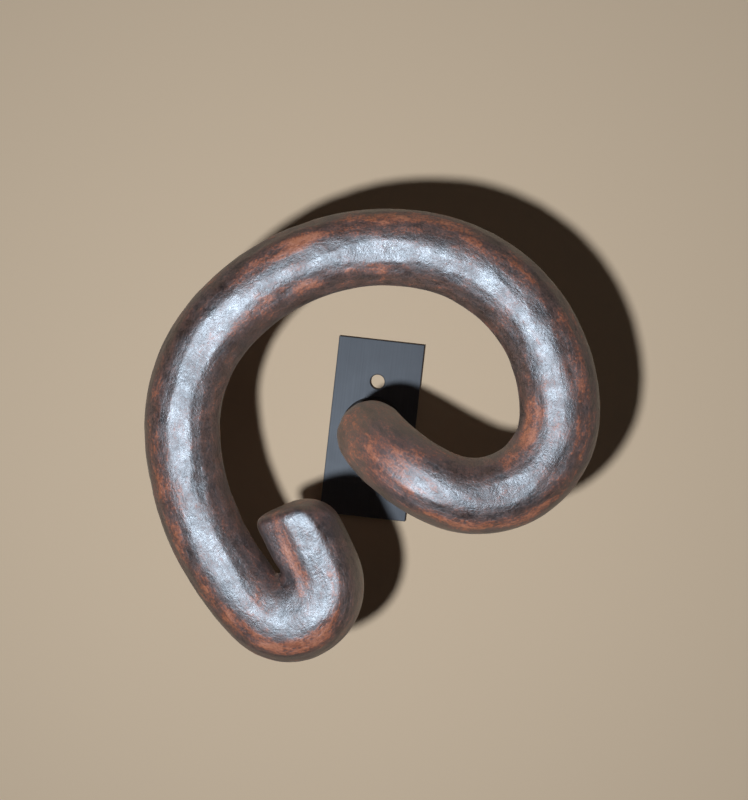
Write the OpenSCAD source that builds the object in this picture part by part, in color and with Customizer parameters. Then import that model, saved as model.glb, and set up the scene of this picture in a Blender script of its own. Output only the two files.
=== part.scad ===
// Forged coat hook: one round bar stands square on a flat wall plate, elbows over
// and rolls round in an open ring that ends in a tight fold.
// The wall is the plane Y = 0 and the hook reaches out along -Y, with +Z up the wall.
// The origin is the centre of the plate's back face. Millimetres.

/* [Round bar] */
// Diameter of the bar as it comes from the mill
bar_d = 20; // [12:0.5:24]
// How much thinner the bar is drawn by the time it runs down the limb
draw_down = 1.2; // [0:0.1:3]

/* [Post and elbow] */
// Distance from the wall to the centre of the ring's bar
ring_reach = 75; // [50:1:110]
// Centreline radius of the elbow at the top of the post
elbow_r = 21.5; // [14:0.5:30]
// Direction in which the elbow leaves the post, anticlockwise from +X
elbow_heading = -39.5; // [-60:0.5:-20]
// Angle by which the elbow swings into the ring as it lies over
elbow_swing = 21.5; // [0:0.5:30]

/* [Ring] */
// Centreline radius of the heel, the tight turn beside the elbow
heel_r = 21; // [16:0.5:30]
// Angle turned round the heel
heel_angle = 113.5; // [105:0.5:130]
// Centreline radius of the side above the heel
side_r = 41; // [30:0.5:60]
// Angle turned along the side
side_angle = 80.5; // [70:0.5:90]
// Centreline radius of the crown
crown_r = 55; // [45:0.5:80]
// Angle turned over the crown
crown_angle = 60.5; // [45:0.5:70]
// Centreline radius of the shoulder opposite the side
shoulder_r = 39.5; // [35:0.5:60]
// Angle turned round the shoulder
shoulder_angle = 43.5; // [35:0.5:55]
// Centreline radius of the limb that runs down to the fold
limb_r = 68; // [50:0.5:90]
// Angle turned along the limb
limb_angle = 42; // [36:0.5:48]

/* [Fold and tip] */
// Angle turned round the fold
fold_angle = 160.5; // [150:0.5:170]
// Gap left between the two sides of the fold
fold_gap = 0.6; // [0.4:0.1:3]
// How far the metal is upset on the inner side of the fold
fold_upset = 0.75; // [0:0.05:2]
// Length of bar over which the upset runs out, each way from the fold
upset_run = 9; // [5:0.5:15]
// Length of the tip past the fold
tip_len = 18.5; // [14:0.5:24]
// Angle by which the sawn end is out of square, shorter on its outer side
saw_skew = 5; // [0:1:20]
// Depth of the rounding at the tip's sawn end
tip_round = 3; // [1:0.5:5]
// Width knocked off the end's outer corner
outer_corner = 8.5; // [1:0.5:10]
// Length of bar over which the outer corner is knocked off
outer_corner_run = 8; // [3:0.5:12]
// Width taken off the end's inner corner, beside the ring
inner_corner = 2.5; // [1:0.5:5]
// Depth of the hammered flat on the front of the tip
flat_depth = 1; // [0:0.1:2]

/* [Wall plate] */
// Width of the plate
plate_w = 30; // [30:1:60]
// Height of the plate
plate_h = 62; // [50:1:120]
// Thickness of the plate
plate_t = 3; // [2:0.5:6]
// Diameter of the two screw holes
hole_d = 5; // [3:0.5:8]
// Land left between the weld and each screw hole
hole_land = 3; // [0.5:0.25:4]

/* [Weld] */
// Leg length of the fillet weld round the bar's foot
weld_leg = 1; // [0.5:0.5:3]

/* [Hidden] */
$fn = 96;
eps = 0.01;
// How finely the bar is swept: corners round it, and the most between two stations
bar_sides = 32;
station_angle = 9;
station_gap = 5;
tip_stations = 4;
// Squareness of the bar's inner side where the fold shuts; 2 is round
fold_squareness = 3;
bar_r = bar_d / 2;
hole_offset = bar_r + weld_leg + hole_land + hole_d / 2;

// Heading of the bar at the start of each stretch of the ring
heel_heading = elbow_heading + elbow_swing;
side_heading = heel_heading + heel_angle;
crown_heading = side_heading + side_angle;
shoulder_heading = crown_heading + crown_angle;
limb_heading = shoulder_heading + shoulder_angle;
fold_heading = limb_heading + limb_angle;
tip_heading = fold_heading + fold_angle;
fold_r = drawn_r(fold_heading, 90) - fold_upset + fold_gap / 2;

// Radius of the bar at a heading and a tilt away from the post, before it is folded
function drawn_r(heading, tilt) = bar_r - draw_down / 4 * (1 - sin(heading)) * sin(tilt);

// The bar is a row of stations, each [length from the last one, heading, tilt].
function bend(radius, from, angle) =
    let (steps = max(ceil(angle / station_angle), ceil(angle * PI / 180 * radius / station_gap)))
    [for (i = [1 : steps])
        [2 * radius * sin(angle / steps / 2), from + angle * i / steps, 90]];
function elbow() = [for (station = bend(elbow_r, 0, 90))
    [station[0], elbow_heading + elbow_swing * (1 - cos(station[1])), station[1]]];
function straight(length, share) = [length * share, tip_heading, 90];

BAR_TO_FOLD = concat(
    [[0, elbow_heading, 0], [ring_reach - elbow_r - plate_t, elbow_heading, 0]],
    elbow(),
    bend(heel_r, heel_heading, heel_angle),
    bend(side_r, side_heading, side_angle),
    bend(crown_r, crown_heading, crown_angle),
    bend(shoulder_r, shoulder_heading, shoulder_angle),
    bend(limb_r, limb_heading, limb_angle)
);
FOLD = bend(fold_r, fold_heading, fold_angle);
TIP = [for (i = [1 : tip_stations]) straight(tip_len - tip_round, 1 / tip_stations)];
// The rounding at the sawn end follows a quarter circle in equal angles.
TIP_END = [for (i = [1 : tip_stations])
    straight(tip_round, sin(90 * i / tip_stations) - sin(90 * (i - 1) / tip_stations))];
STATIONS = concat(BAR_TO_FOLD, FOLD, TIP, TIP_END);
last = len(STATIONS) - 1;

// Where each station lies, found by walking along the bar from its foot
function step_to(i) =
    let (heading = (STATIONS[i - 1][1] + STATIONS[i][1]) / 2,
        tilt = (STATIONS[i - 1][2] + STATIONS[i][2]) / 2)
    STATIONS[i][0] * [sin(tilt) * cos(heading), sin(tilt) * sin(heading), cos(tilt)];
PLACES = [for (i = 0, place = [0, 0, plate_t]; i <= last;
    i = i + 1, place = i > last ? place : place + step_to(i)) place];
// How far along the bar each station lies
RUN = [for (i = 0, run = 0; i <= last; i = i + 1, run = i > last ? run : run + STATIONS[i][0]) run];
fold_from = RUN[len(BAR_TO_FOLD) - 1];
fold_to = RUN[len(BAR_TO_FOLD) + len(FOLD) - 1];
fold_middle = (fold_from + fold_to) / 2;

// Shares from 0 to 1 of what the smith does to the round bar at a station
function smooth(share) = let (t = max(0, min(1, share))) t * t * (3 - 2 * t);
function upset_share(i) = smooth(1 - max(fold_from - RUN[i], RUN[i] - fold_to) / upset_run);
function flat_share(i) = smooth((RUN[i] - fold_middle) / (fold_to - fold_middle));
function skew_share(i) = smooth((RUN[i] - fold_to) / tip_len);
function corner_share(i) =
    let (t = max(0, 1 - (RUN[last] - RUN[i]) / outer_corner_run)) 1 - sqrt(1 - t * t);
function end_share(i) = 1 - cos(90 * max(0, i - last + tip_stations) / tip_stations);

// The bar's section at a station, as [towards the inside of the ring, towards the front]
function section(i) =
    let (
        r = drawn_r(STATIONS[i][1], STATIONS[i][2]),
        depth = r - tip_round * end_share(i),
        inner = r - fold_upset * upset_share(i) - inner_corner * end_share(i),
        outer = r - outer_corner * corner_share(i),
        front = (r - flat_depth * flat_share(i)) * depth / r,
        power = 2 / (2 + (fold_squareness - 2) * upset_share(i))
    )
    [for (k = [0 : bar_sides - 1])
        let (
            across = cos(360 * k / bar_sides),
            up = sin(360 * k / bar_sides),
            inward = across > 0
        )
        [
            inward ? inner * pow(across, power) : outer * across,
            min(front, depth * sign(up) * pow(abs(up), inward ? power : 1))
        ]];

// A station's section set across the bar, square except towards the sawn end
function ring_of_points(i) =
    let (
        heading = STATIONS[i][1] - saw_skew * skew_share(i),
        tilt = STATIONS[i][2],
        inside = [-sin(heading), cos(heading), 0],
        front = [-cos(tilt) * cos(heading), -cos(tilt) * sin(heading), sin(tilt)]
    )
    [for (p = section(i)) PLACES[i] + p[0] * inside + p[1] * front];

module hook_bar() color("#4f3b33") rotate([90, 0, 0]) {
    points = [for (i = [0 : last]) each ring_of_points(i)];
    skin = [for (i = [0 : last - 1], k = [0 : bar_sides - 1])
        let (a = i * bar_sides + k, b = i * bar_sides + (k + 1) % bar_sides)
        each [[a, a + bar_sides, b], [b, a + bar_sides, b + bar_sides]]];
    foot = [[for (k = [0 : bar_sides - 1]) k]];
    sawn_end = [[for (k = [bar_sides - 1 : -1 : 0]) last * bar_sides + k]];
    polyhedron(points, concat(foot, skin, sawn_end));
}

module wall_plate() color("#2b2c2f") rotate([90, 0, 0]) difference() {
    translate([-plate_w / 2, -plate_h / 2, 0]) cube([plate_w, plate_h, plate_t]);
    for (side = [-1, 1])
        translate([0, side * hole_offset, -eps]) cylinder(d = hole_d, h = plate_t + 2 * eps);
}

// The fillet weld fills the corner between the bar's foot and the plate.
module weld_bead() color("#34302e") rotate([90, 0, 0]) translate([0, 0, plate_t])
    rotate_extrude() translate([bar_r, 0]) intersection() {
        circle(r = weld_leg);
        square(weld_leg);
    }

hook_bar();
wall_plate();
weld_bead();
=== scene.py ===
import math

import bpy
import numpy as np
from mathutils import Matrix, Vector
from mathutils.kdtree import KDTree


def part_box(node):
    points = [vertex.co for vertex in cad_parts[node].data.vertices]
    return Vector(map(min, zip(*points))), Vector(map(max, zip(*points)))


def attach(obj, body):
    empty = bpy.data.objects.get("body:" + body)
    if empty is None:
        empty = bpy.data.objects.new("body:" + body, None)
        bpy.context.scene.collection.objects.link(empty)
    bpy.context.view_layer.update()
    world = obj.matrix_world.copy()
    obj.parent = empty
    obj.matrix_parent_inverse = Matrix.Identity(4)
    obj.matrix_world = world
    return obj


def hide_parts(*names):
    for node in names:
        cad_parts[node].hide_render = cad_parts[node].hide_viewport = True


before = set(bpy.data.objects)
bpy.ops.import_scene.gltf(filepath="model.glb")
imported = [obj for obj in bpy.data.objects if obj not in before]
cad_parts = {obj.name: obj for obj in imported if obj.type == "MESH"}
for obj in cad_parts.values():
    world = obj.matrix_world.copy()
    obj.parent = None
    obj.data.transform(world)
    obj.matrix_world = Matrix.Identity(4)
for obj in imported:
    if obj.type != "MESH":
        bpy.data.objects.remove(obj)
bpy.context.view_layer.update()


# ---------------------------------------------------------------------------
# Wall plate: a length of mild steel flat bar, sheared and drilled for two screws.
# It is sprayed satin black, and the mill's drawing lines still show through the paint.
# Its arrises are barely broken, so they catch only a hair of light.
# ---------------------------------------------------------------------------
MM = 0.001


def linear(hex_colour):
    """An sRGB hex colour as Blender's linear values."""
    parts = [int(hex_colour[i:i + 2], 16) / 255 for i in (1, 3, 5)]
    return [c / 12.92 if c <= 0.04045 else ((c + 0.055) / 1.055) ** 2.4 for c in parts] + [1.0]


def start_material(name):
    """A new material and its empty node tree."""
    material = bpy.data.materials.new(name)
    material.use_nodes = True
    material.node_tree.nodes.clear()
    return material, material.node_tree


def add(tree, kind, settings=(), **sockets):
    """Adds a node with its settings, and gives its sockets a value or a link.

    A socket is named with _ for a space, or by its number after i.
    """
    node = tree.nodes.new(kind)
    for key, value in dict(settings).items():
        setattr(node, key, value)
    for key, value in sockets.items():
        socket = node.inputs[int(key[1:]) if key[1:].isdigit() else key.replace("_", " ")]
        if isinstance(value, bpy.types.NodeSocket):
            tree.links.new(value, socket)
        else:
            socket.default_value = value
    return node


# Satin black spray paint on drawn steel: charcoal, with a broad dull sheen and faint lines down its length.
# The mill's lines are nearer 0.1 mm apart; they are drawn at 0.5 mm so that they show. Each is 50 times as
# long as it is wide. The spray lies a little wetter and drier in clouds of about 7 mm.
PLATE_LINE, PLATE_LINE_LEN, PLATE_CLOUD = 0.5 * MM, 50, 1 / 140
PLATE_LINE_DEPTH = 0.03 * MM
plate_paint, tree = start_material("satin_black_spray_paint")
where = add(tree, "ShaderNodeTexCoord").outputs["Object"]
along_lines = add(tree, "ShaderNodeMapping", Vector=where,
                  Scale=(1 / PLATE_LINE, 1 / PLATE_LINE, 1 / PLATE_LINE / PLATE_LINE_LEN))
lines = add(tree, "ShaderNodeTexNoise", Vector=along_lines.outputs[0], Scale=1.0, Detail=3.0)
cloud = add(tree, "ShaderNodeTexNoise", Vector=where, Scale=1 / PLATE_CLOUD, Detail=2.0)
tone = add(tree, "ShaderNodeMix", {"data_type": "RGBA"}, i0=lines.outputs["Fac"],
           i6=linear("#3e3c3e"), i7=linear("#504e50"))
gloss = add(tree, "ShaderNodeMapRange", Value=cloud.outputs["Fac"], To_Min=0.52, To_Max=0.60)
grain = add(tree, "ShaderNodeBump", Height=lines.outputs["Fac"], Strength=0.4, Distance=PLATE_LINE_DEPTH)
shader = add(tree, "ShaderNodeBsdfPrincipled", Base_Color=tone.outputs[2], Roughness=gloss.outputs[0],
             IOR=1.5, Normal=grain.outputs[0])
add(tree, "ShaderNodeOutputMaterial", Surface=shader.outputs[0])

HOLE_R, HOLE_OFFSET = 2.5 * MM, 16.5 * MM
HOLE_STEP = 5  # degrees
ARRIS = 0.3 * MM
plate_low, plate_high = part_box("wall_plate")
outline = bpy.data.curves.new("wall_plate_outline", "CURVE")
outline.dimensions, outline.fill_mode = "2D", "BOTH"
outline.extrude = (plate_high.y - plate_low.y) / 2 - ARRIS
outline.bevel_depth, outline.bevel_resolution, outline.offset = ARRIS, 3, -ARRIS
edge = [(plate_low.x, plate_low.z), (plate_high.x, plate_low.z),
        (plate_high.x, plate_high.z), (plate_low.x, plate_high.z)]
holes = [[(HOLE_R * math.cos(math.radians(a)), side * HOLE_OFFSET - HOLE_R * math.sin(math.radians(a)))
          for a in range(0, 360, HOLE_STEP)] for side in (-1, 1)]
for corners in (edge, *holes):
    spline = outline.splines.new("POLY")
    spline.points.add(len(corners) - 1)
    for point, (x, z) in zip(spline.points, corners):
        point.co = (x, z, 0, 1)
    spline.use_cyclic_u = True
shape = bpy.data.objects.new("outline", outline)
mesh = bpy.data.meshes.new_from_object(shape)
stood_up = Matrix.Rotation(math.pi / 2, 4, "X")
mesh.transform(Matrix.Translation((0, (plate_low.y + plate_high.y) / 2, 0)) @ stood_up)
mesh.materials.clear()
mesh.materials.append(plate_paint)
plate = bpy.data.objects.new("sheared_plate", mesh)
bpy.context.scene.collection.objects.link(plate)
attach(plate, "root")
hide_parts("wall_plate")


# ---------------------------------------------------------------------------
# Weld: one small run of steel fillet weld laid round the foot of the bar, left as welded.
# It fixes the bar to the plate, and was painted black with it.
# ---------------------------------------------------------------------------
# Black paint over weld scale: browner than the plate, with a like sheen, and pitted about every millimetre
WELD_PIT, WELD_PIT_DEPTH = 1 / 900, 0.1 * MM
weld_paint, tree = start_material("black_paint_on_weld")
where = add(tree, "ShaderNodeTexCoord").outputs["Object"]
scale_pits = add(tree, "ShaderNodeTexNoise", Vector=where, Scale=1 / WELD_PIT, Detail=4.0)
tone = add(tree, "ShaderNodeMix", {"data_type": "RGBA"}, i0=scale_pits.outputs["Fac"],
           i6=linear("#231f1d"), i7=linear("#3d332c"))
pits = add(tree, "ShaderNodeBump", Height=scale_pits.outputs["Fac"], Strength=0.6, Distance=WELD_PIT_DEPTH)
shader = add(tree, "ShaderNodeBsdfPrincipled", Base_Color=tone.outputs[2], Roughness=0.5, IOR=1.5,
             Normal=pits.outputs[0])
add(tree, "ShaderNodeOutputMaterial", Surface=shader.outputs[0])
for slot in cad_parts["weld_bead"].material_slots:
    slot.material = weld_paint


# ---------------------------------------------------------------------------
# Hook: 20 mm round mild steel bar, bent hot over the anvil's horn and folded shut at the tip.
# The hammer leaves soft planished facets all along it and a flat on the front of the fold.
# It is lacquered near black, then dry-brushed with rust-orange paint that catches the high places.
# ---------------------------------------------------------------------------
BAR_R, DRAW_DOWN = 10 * MM, 1.2 * MM
RING_REACH, ELBOW_R = 75 * MM, 21.5 * MM
# Which way the elbow heads in the wall's plane, and how far it swings round as it tilts over, in degrees
ELBOW_HEADING, ELBOW_SWING, ELBOW_STEP = -39.5, 21.5, 6
# Each bend's radius in mm and its angle in degrees, from the elbow to the tip
RING_BENDS = {"heel": (21, 113.5), "side": (41, 80.5), "crown": (55, 60.5), "shoulder": (39.5, 43.5),
              "limb": (68, 42), "fold": (9.07, 160.5)}
TIP_LEN, TIP_ROUND = 18.5 * MM, 3 * MM
SAW_SKEW = math.radians(5)
OUTER_CORNER, OUTER_CORNER_RUN, INNER_CORNER = 8.5 * MM, 8 * MM, 2.5 * MM
FLAT_DEPTH = 1 * MM
FLAT_RIDGE, SHOULDER_SLOPE = 1.2 * MM, math.radians(22)
# The two sides of the fold lap in its throat, and stand a slit apart where it opens.
THROAT_LAP, THROAT_RUN, THROAT_RISE = 0.5 * MM, 2 * MM, 3 * MM
SLIT_CUT, SLIT_AT, SLIT_SPREAD = 0.45 * MM, 4 * MM, 5 * MM
THROAT_REACH, THROAT_ROUNDS, THROAT_SHIFT = 7.2 * MM, 240, 0.75
BEND_EASE = 2 * MM
STATION, ROUND, SKIN = 0.6 * MM, 104, 0.58 * MM


def smooth(t):
    """Eases from 0 to 1."""
    t = np.clip(t, 0, 1)
    return t * t * (3 - 2 * t)


def quarter_round(t):
    """Falls away like a quarter circle from 0 to 1."""
    return 1 - np.sqrt(1 - np.clip(t, 0, 1) ** 2)


# Heading and tilt in degrees along the bar, as corners that are joined by straight runs
post_len = RING_REACH - ELBOW_R + plate_low.y
run_at, heading_at, tilt_at = [0, post_len], [ELBOW_HEADING] * 2, [0, 0]
for tilt in range(ELBOW_STEP, 90 + ELBOW_STEP, ELBOW_STEP):
    run_at.append(post_len + ELBOW_R * math.radians(tilt))
    heading_at.append(ELBOW_HEADING + ELBOW_SWING * (1 - math.cos(math.radians(tilt))))
    tilt_at.append(tilt)
for bend_r, angle in RING_BENDS.values():
    run_at.append(run_at[-1] + bend_r * MM * math.radians(angle))
    heading_at.append(heading_at[-1] + angle)
    tilt_at.append(90)
fold_from, fold_to = run_at[-2:]
bar_len = fold_to + TIP_LEN

run = np.linspace(0, bar_len, round(bar_len / STATION) + 1)
step = run[1]
ease_steps = round(4 * BEND_EASE / step)
ease = np.exp(-(np.arange(-ease_steps, ease_steps + 1) * step / BEND_EASE) ** 2 / 2)
ease /= ease.sum()


def eased(values):
    """Corners joined along the bar, with each change of bend eased as a hot bar eases it."""
    wide = np.pad(np.interp(run, run_at, values), ease_steps, mode="edge")
    return np.radians(np.convolve(wide, ease, mode="valid"))


def directions(heading, tilt):
    """Ahead along the bar, towards the inside of the ring and towards the front."""
    ahead = np.stack([np.sin(tilt) * np.cos(heading), -np.cos(tilt), np.sin(tilt) * np.sin(heading)], -1)
    inside = np.stack([-np.sin(heading), np.zeros_like(heading), np.cos(heading)], -1)
    return ahead, inside, np.cross(ahead, inside)


heading, tilt = eased(heading_at), eased(tilt_at)
mid_ahead = directions((heading[1:] + heading[:-1]) / 2, (tilt[1:] + tilt[:-1]) / 2)[0]
centre = np.vstack([[0, plate_low.y, 0], step * mid_ahead]).cumsum(0)
ahead, inside, front = directions(heading - SAW_SKEW * smooth((run - fold_to) / TIP_LEN), tilt)

# Half sizes of the section along the bar: towards the inside, the outside and the front
radius = BAR_R - DRAW_DOWN / 4 * (1 - np.sin(heading)) * np.sin(tilt)
past_fold = np.maximum(fold_from - run, run - fold_to)
lap = smooth((THROAT_RUN - past_fold) / THROAT_RISE)
slit = SLIT_CUT * smooth(1 - np.abs(past_fold - SLIT_AT) / SLIT_SPREAD)
flat = smooth((run - (fold_from + fold_to) / 2) / ((fold_to - fold_from) / 2))
end = quarter_round((run - bar_len + TIP_ROUND) / TIP_ROUND)
corner = quarter_round((run - bar_len + OUTER_CORNER_RUN) / OUTER_CORNER_RUN)
inner = radius + (RING_BENDS["fold"][0] * MM + THROAT_LAP - radius) * lap - INNER_CORNER * end - slit
outer = radius - OUTER_CORNER * corner
depth = radius - TIP_ROUND * end
hammered = ((radius - FLAT_DEPTH * flat) * depth / radius)[:, None]

turn = np.arange(ROUND) * 2 * math.pi / ROUND
across, up = np.cos(turn)[None], np.sin(turn)[None]
power = np.where(across > 0, 2 / (2 + lap[:, None]), 1)
section_in = np.where(across > 0, inner[:, None], outer[:, None]) * np.sign(across) * np.abs(across) ** power
section_up = np.minimum(depth[:, None] * np.sign(up) * np.abs(up) ** power, hammered)
shoulder = hammered - (section_in - FLAT_RIDGE) * math.tan(SHOULDER_SLOPE)
section_up -= flat[:, None] * np.maximum(section_up - shoulder, 0)
points = centre[:, None] + section_in[..., None] * inside[:, None] + section_up[..., None] * front[:, None]
points = points.reshape(-1, 3)
first = np.arange(len(run) - 1)[:, None] * ROUND
near = np.arange(ROUND)[None]
far = (near + 1) % ROUND
quads = np.stack([first + near, first + ROUND + near, first + ROUND + far, first + far], -1).reshape(-1, 4)
sawn_end = np.arange(len(points) - ROUND, len(points))[::-1]
mesh = bpy.data.meshes.new("swept_bar")
mesh.from_pydata(points.tolist(), [], [*quads.tolist(), list(range(ROUND)), sawn_end.tolist()])
bar = bpy.data.objects.new("forged_bar", mesh)
bpy.context.scene.collection.objects.link(bar)

# The swept skin laps over itself in the throat of the fold, so it is made into one closed skin.
remesh = bar.modifiers.new("one_skin", "REMESH")
remesh.mode, remesh.voxel_size = "VOXEL", SKIN
smoothed = bar.modifiers.new("smoothed", "SMOOTH")
smoothed.factor, smoothed.iterations = 0.5, 4
mesh = bpy.data.meshes.new_from_object(bar.evaluated_get(bpy.context.evaluated_depsgraph_get()))
mesh.name = "forged_bar"
bar.modifiers.clear()
bar.data = mesh


def read(rows, name, width, kind=float):
    """One value of each row of a mesh, as an array."""
    values = np.empty(len(rows) * width, dtype=kind)
    rows.foreach_get(name, values)
    return values.reshape(-1, width)


def tree_of(places):
    """A tree that finds the nearest of these places."""
    found = KDTree(len(places))
    for i, at in enumerate(places):
        found.insert(at, i)
    found.balance()
    return found


# The two sides of the throat were forged into one soft hollow, so the skin there is relaxed.
place = read(mesh.vertices, "co", 3)
edges = read(mesh.edges, "vertices", 2, np.int64)
middle = round((fold_from + fold_to) / 2 / step)
throat = centre[middle] + THROAT_SHIFT * RING_BENDS["fold"][0] * MM * inside[middle]
level = np.hypot(place[:, 0] - throat[0], place[:, 2] - throat[2])
soft = smooth(2 * (1 - level / THROAT_REACH))
edges_in = edges[(soft[edges] > 0).any(1)]
point, neighbour = np.concatenate([edges_in, edges_in[:, ::-1]]).T
count = np.maximum(np.bincount(point, minlength=len(place)), 1)
for _ in range(THROAT_ROUNDS):
    total = np.stack([np.bincount(point, place[neighbour, k], len(place)) for k in range(3)], 1)
    place += (soft / 2)[:, None] * (total / count[:, None] - place)
mesh.vertices.foreach_set("co", place.ravel())
mesh.update()
normal = read(mesh.vertex_normals, "vector", 3)

# Each point's place on the bar as if it were straight: run, towards the inside, towards the front, in mm
swept = tree_of(points)
station = np.array([swept.find(at)[1] // ROUND for at in place])
offset = place - centre[station]
straight = np.stack([run[station] + (offset * ahead[station]).sum(1), (offset * inside[station]).sum(1),
                     (offset * front[station]).sum(1)], 1) / MM
angle = np.arctan2(straight[:, 2], straight[:, 1])

# Planishing, in mm: each blow leaves a small flat. Blows go round the bar and along it with a little wander.
BLOW_STEP, BLOWS_ROUND = 7.0, 7
BLOW_LEN, BLOW_DEPTH = (7.0, 13.0), (0.02, 0.18)
BLOW_REACH = 0.5  # the cosine of the turn that a blow's flat reaches to
# Forge scale flakes off the whole bar, which keeps its highest points just under the stock's size.
SCALE_LOSS = 0.14
# The heavier flats: run, angle round the bar (0 inside, 90 front, 180 outside), half length and depth
FLATS = {
    "upper left": (245, 80, 15, 0.50),
    "left": (270, 82, 14, 0.35),
    "crown": (194, 74, 12, 0.35),
    "crown right": (166, 68, 12, 0.22),
    "side": (138, 69, 13, 0.15),
    "heel": (100, 83, 9, 0.45),
    "heel inside": (112, 20, 6, 0.50),
    "elbow": (78, 95, 9, 0.40),
    "limb": (302, 81, 12, 0.35),
}
# Small dents from the hammer's rounded end
PEEN_COUNT, PEEN_R, PEEN_DEPTH = 900, (1.5, 3.6), (0.02, 0.13)


def struck(bar_r, along, turned, deep):
    """How deep a flat cuts, along the bar (1 at the flat's end) and turned from the flat's middle."""
    plane = bar_r - deep * (1 - along ** 2)
    return bar_r - plane / np.maximum(np.cos(turned), BLOW_REACH)


rng = np.random.default_rng(7)
bar_r_mm = radius[station] / MM
dent = np.zeros(len(place))
for row in range(int(bar_len / MM / BLOW_STEP)):
    near_row = np.flatnonzero(np.abs(straight[:, 0] - row * BLOW_STEP) < BLOW_LEN[1] + BLOW_STEP)
    for blow in range(BLOWS_ROUND):
        at = (row + rng.uniform(-0.4, 0.4)) * BLOW_STEP
        aim = (blow + row % 2 / 2 + rng.uniform(-0.3, 0.3)) * 2 * math.pi / BLOWS_ROUND
        deep = rng.uniform(*BLOW_DEPTH)
        along = (straight[near_row, 0] - at) / rng.uniform(*BLOW_LEN)
        cut = struck(bar_r_mm[near_row], along, angle[near_row] - aim, deep)
        dent[near_row] = np.maximum(dent[near_row], cut)
for at, aim, half_len, deep in FLATS.values():
    cut = struck(bar_r_mm, (straight[:, 0] - at) / half_len, angle - math.radians(aim), deep)
    dent = np.maximum(dent, cut)
skin = tree_of(place)
peened = np.zeros(len(place))
for i in rng.integers(len(place), size=PEEN_COUNT):
    peen_r, deep = rng.uniform(*PEEN_R) * MM, rng.uniform(*PEEN_DEPTH)
    for _, j, away in skin.find_range(place[i], peen_r):
        peened[j] = max(peened[j], deep * (1 - (away / peen_r) ** 2))
dent += peened
place -= normal * ((SCALE_LOSS + dent) * MM)[:, None]
mesh.vertices.foreach_set("co", place.ravel())

# Where the orange was rubbed on hardest: run and angle round the bar as above, then the patch's half length,
# its half width in degrees, and how strongly it was rubbed. It fades out past its edge.
RUB_FADE = 1.4
RUBBED = {
    "shoulder outside": (217, 110, 16, 15, 1.0),
    "shoulder inside": (216, 45, 5, 14, 0.9),
    "shoulder streaks": (230, 55, 10, 16, 0.5),
    "crown inside": (197, 48, 8, 12, 0.5),
    "crown outside": (190, 130, 18, 14, 0.7),
    "crown right": (168, 108, 20, 16, 0.45),
    "side outside": (132, 115, 24, 18, 0.45),
    "side inside": (121, 35, 13, 20, 1.0),
    "heel inside": (110, 40, 8, 25, 0.6),
    "heel outside": (96, 132, 16, 14, 0.8),
    "elbow": (72, 100, 16, 45, 0.5),
    "limb outside": (285, 125, 34, 16, 0.45),
    "limb foot": (313, 118, 14, 14, 0.7),
    "fold outside": (330, 112, 14, 16, 1.0),
    "tip inside": (352, 62, 14, 14, 0.7),
}
rub = np.zeros(len(place))
for at, aim, half_len, half_width, strength in RUBBED.values():
    turn_off = np.degrees(np.abs((angle - math.radians(aim) + math.pi) % (2 * math.pi) - math.pi))
    off = np.hypot((straight[:, 0] - at) / half_len, turn_off / half_width)
    rub = np.maximum(rub, strength * smooth(RUB_FADE - off))
mesh.attributes.new("straight", "FLOAT_VECTOR", "POINT").data.foreach_set("vector", straight.ravel())
mesh.attributes.new("rub", "FLOAT", "POINT").data.foreach_set("value", rub)
mesh.polygons.foreach_set("use_smooth", [True] * len(mesh.polygons))

# Near-black lacquer full of iron-oxide flakes, which mirror far more than clear lacquer does: the high IOR
# gives a wide, bright satin highlight on a dark bar. The rust-orange paint over it is brushed on dry, so it
# breaks into streaks and specks, and it is a little more matt than the lacquer.
# Marks per mm: clouds 7 mm across, brush streaks 2 mm, specks 0.6 mm, worn gloss 4 mm and dimples 3 mm.
# The streaks are three times as long as wide, and lie askew on the bar.
CLOUDS, STREAKS, SPECKS, WORN, DIMPLES = 0.15, 0.55, 1.6, 0.25, 0.3
STREAK_SLANT, STREAK_SQUEEZE = math.radians(20), 0.35
STREAK_DEPTH, DIMPLE_DEPTH, SPECK_DEPTH = 0.16 * MM, 0.2 * MM, 0.11 * MM
# How much each of them wears the black through to the orange, from 0 to 1 on the tints below
RUB_SHARE, STREAK_SHARE, SPECK_SHARE, CLOUD_SHARE = 0.56, 1.5, 1.4, 1.2
MEAN_WEAR = 0.29
WEAR_TINTS = {0.0: "#301b15", 0.35: "#5f3e32", 0.55: "#784837", 0.75: "#b25c34", 1.0: "#d47a4c"}
FLAKE_IOR = 2.9
bar_paint, tree = start_material("rust_rubbed_black_lacquer")
straight_at = add(tree, "ShaderNodeAttribute", {"attribute_name": "straight"}).outputs["Vector"]
rubbed = add(tree, "ShaderNodeAttribute", {"attribute_name": "rub"}).outputs["Fac"]
streak_at = add(tree, "ShaderNodeMapping", Vector=straight_at, Rotation=(0, 0, STREAK_SLANT),
                Scale=(STREAK_SQUEEZE, 1.0, 1.0)).outputs[0]
cloud = add(tree, "ShaderNodeTexNoise", Vector=straight_at, Scale=CLOUDS, Detail=3.0).outputs["Fac"]
streak = add(tree, "ShaderNodeTexNoise", Vector=streak_at, Scale=STREAKS, Detail=6.0,
             Roughness=0.7).outputs["Fac"]
speck = add(tree, "ShaderNodeTexNoise", Vector=straight_at, Scale=SPECKS, Detail=4.0,
            Roughness=0.65).outputs["Fac"]
worn = add(tree, "ShaderNodeTexNoise", Vector=straight_at, Scale=WORN, Detail=4.0,
           Roughness=0.7).outputs["Fac"]
dimple = add(tree, "ShaderNodeTexNoise", Vector=straight_at, Scale=DIMPLES, Detail=2.0).outputs["Fac"]

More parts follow.
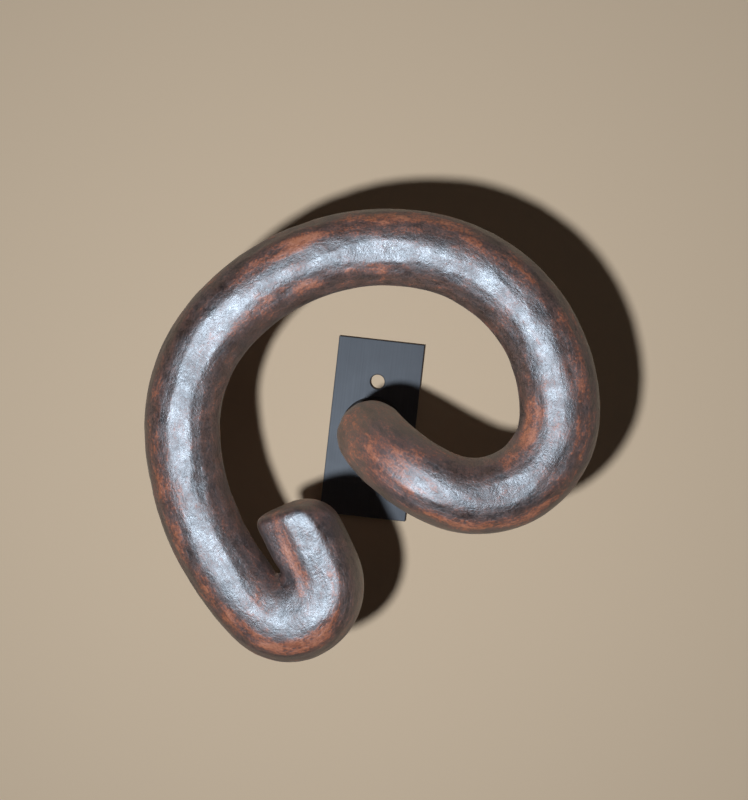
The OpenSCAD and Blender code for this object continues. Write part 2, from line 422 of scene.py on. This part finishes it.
wear = MEAN_WEAR - (STREAK_SHARE + SPECK_SHARE + CLOUD_SHARE) / 2
for part, share in ((rubbed, RUB_SHARE), (streak, STREAK_SHARE), (speck, SPECK_SHARE), (cloud, CLOUD_SHARE)):
    wear = add(tree, "ShaderNodeMath", {"operation": "MULTIPLY_ADD"}, i0=part, i1=share, i2=wear).outputs[0]
colour = add(tree, "ShaderNodeValToRGB", Fac=wear)
stops = colour.color_ramp.elements
for at, tint in WEAR_TINTS.items():
    stop = stops[0] if at == 0 else stops[-1] if at == 1 else stops.new(at)
    stop.color = linear(tint)
orange_matt = add(tree, "ShaderNodeMapRange", Value=wear, To_Min=0.02, To_Max=0.18)
gloss = add(tree, "ShaderNodeMapRange", Value=worn, From_Min=0.35, From_Max=0.65, To_Min=0.34, To_Max=0.50)
roughness = add(tree, "ShaderNodeMath", {"operation": "ADD"}, i0=orange_matt.outputs[0], i1=gloss.outputs[0])
crinkle = add(tree, "ShaderNodeBump", Height=streak, Strength=1.0, Distance=STREAK_DEPTH)
crinkle = add(tree, "ShaderNodeBump", Height=dimple, Strength=1.0, Distance=DIMPLE_DEPTH,
              Normal=crinkle.outputs[0])
crinkle = add(tree, "ShaderNodeBump", Height=speck, Strength=1.0, Distance=SPECK_DEPTH,
              Normal=crinkle.outputs[0])
shader = add(tree, "ShaderNodeBsdfPrincipled", Base_Color=colour.outputs[0], Roughness=roughness.outputs[0],
             IOR=FLAKE_IOR, Normal=crinkle.outputs[0])
add(tree, "ShaderNodeOutputMaterial", Surface=shader.outputs[0])
mesh.materials.append(bar_paint)
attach(bar, "root")
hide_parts("hook_bar")


# ---------------------------------------------------------------------------
# Wall board: a plain flat board, painted, that the plate lies on.
# From behind it can't be seen and lets light through, so that the plate's back shows.
# ---------------------------------------------------------------------------
WALL_SIZE = 3.0
WALL_GAP = 0.05 * MM
# Matt emulsion paint: an even warm beige with no sheen
wall_board, tree = start_material("pale_matt_board")
facing = add(tree, "ShaderNodeNewGeometry").outputs["Backfacing"]
matt = add(tree, "ShaderNodeBsdfDiffuse", Color=linear("#d5b594"))
clear = add(tree, "ShaderNodeBsdfTransparent")
rays = add(tree, "ShaderNodeLightPath")
let_through = add(tree, "ShaderNodeMath", {"operation": "MAXIMUM"}, i0=facing,
                  i1=rays.outputs["Is Shadow Ray"])
both = add(tree, "ShaderNodeMixShader", i0=let_through.outputs[0], i1=matt.outputs[0], i2=clear.outputs[0])
add(tree, "ShaderNodeOutputMaterial", Surface=both.outputs[0])
half = WALL_SIZE / 2
board_corners = [(-half, WALL_GAP, -half), (half, WALL_GAP, -half),
                 (half, WALL_GAP, half), (-half, WALL_GAP, half)]
mesh = bpy.data.meshes.new("wall_board")
mesh.from_pydata(board_corners, [], [(0, 1, 2, 3)])
mesh.materials.append(wall_board)
wall = bpy.data.objects.new("wall_board", mesh)
bpy.context.scene.collection.objects.link(wall)


# ---------------------------------------------------------------------------
# Dark surround: black cloth flags on the five open sides, out of the camera's sight.
# They keep the pale room out of the bar's gloss, so that its black lacquer stays dark.
# ---------------------------------------------------------------------------
# Black cotton: it gives back almost no light
black_cloth, tree = start_material("black_cloth")
cloth = add(tree, "ShaderNodeBsdfDiffuse", Color=linear("#101010"))
add(tree, "ShaderNodeOutputMaterial", Surface=cloth.outputs[0])
near_corners = [(x, -half, z) for x, _, z in board_corners]
mesh = bpy.data.meshes.new("black_flags")
mesh.from_pydata(board_corners + near_corners, [],
                 [(4, 5, 6, 7), (0, 1, 5, 4), (1, 2, 6, 5), (2, 3, 7, 6), (3, 0, 4, 7)])
mesh.materials.append(black_cloth)
flags = bpy.data.objects.new("black_flags", mesh)
bpy.context.scene.collection.objects.link(flags)
flags.visible_camera = False


# ---------------------------------------------------------------------------
# Camera: a small camera held close in front of the hook.
# It looks square at the wall, rolled a little.
# ---------------------------------------------------------------------------
CAMERA_AT = Vector((-0.5, -262, 10)) * MM
CAMERA_ROLL = math.radians(6.4)
CAMERA_LENS, CAMERA_NEAR = 33.4, 5 * MM
lens = bpy.data.cameras.new("camera")
lens.lens = CAMERA_LENS
lens.clip_start = CAMERA_NEAR
camera = bpy.data.objects.new("camera", lens)
bpy.context.scene.collection.objects.link(camera)
camera.matrix_world = (Matrix.Translation(CAMERA_AT) @ Matrix.Rotation(math.pi / 2, 4, "X")
                       @ Matrix.Rotation(CAMERA_ROLL, 4, "Z"))
bpy.context.scene.camera = camera


# ---------------------------------------------------------------------------
# Lamps: a small cool key at the camera's lower left, whose light is even all over the wall, and broad weak
# fills above and to the right. One more fill behind the board lights the plate's back, and the room is pale.
# ---------------------------------------------------------------------------
KEY_AT, KEY_SIZE, KEY_POWER = (-33, -262, -20), 10, 42
# Each fill's place and size in mm, and its power in watts
FILLS = {"fill_above": ((120, -700, 500), 700, 0.14), "fill_right": ((600, -500, -100), 600, 0.11),
         "fill_behind": ((-300, 800, 300), 500, 4)}
ROOM_LIGHT, ROOM_SEEN = 0.004, 0.9


def place_lamp(name, kind, at, power):
    """A lamp aimed at the middle of the ring."""
    light = bpy.data.lights.new(name, kind)
    light.energy = power
    lamp = bpy.data.objects.new(name, light)
    bpy.context.scene.collection.objects.link(lamp)
    lamp.location = Vector(at) * MM
    lamp.rotation_euler = (Vector((0, -RING_REACH, 0)) - lamp.location).to_track_quat("-Z", "Y").to_euler()
    lamp.visible_camera = False
    return light


key = place_lamp("key", "POINT", KEY_AT, KEY_POWER)
key.shadow_soft_size = KEY_SIZE / 2 * MM
key.color = linear("#dbedff")[:3]
key.use_nodes = True
tree = key.node_tree
tree.nodes.clear()
even = add(tree, "ShaderNodeLightFalloff", Strength=1.0).outputs["Constant"]
glow = add(tree, "ShaderNodeEmission", Strength=even)
add(tree, "ShaderNodeOutputLight", Surface=glow.outputs[0])
for name, (at, size, power) in FILLS.items():
    light = place_lamp(name, "AREA", at, power)
    light.shape = "DISK"
    light.size = size * MM
bpy.data.objects["fill_behind"].visible_glossy = False

room = bpy.data.worlds.new("pale_room")
bpy.context.scene.world = room
room.use_nodes = True
tree = room.node_tree
tree.nodes.clear()
rays = add(tree, "ShaderNodeLightPath")
seen = rays.outputs["Is Camera Ray"]
for kind in ("Is Glossy Ray", "Is Transmission Ray"):
    seen = add(tree, "ShaderNodeMath", {"operation": "MAXIMUM"}, i0=seen, i1=rays.outputs[kind]).outputs[0]
strength = add(tree, "ShaderNodeMix", i0=seen, i2=ROOM_LIGHT, i3=ROOM_SEEN)
sky = add(tree, "ShaderNodeBackground", Color=linear("#f2efea"), Strength=strength.outputs[0])
add(tree, "ShaderNodeOutputWorld", Surface=sky.outputs[0])

bpy.context.scene.view_settings.view_transform = "Standard"
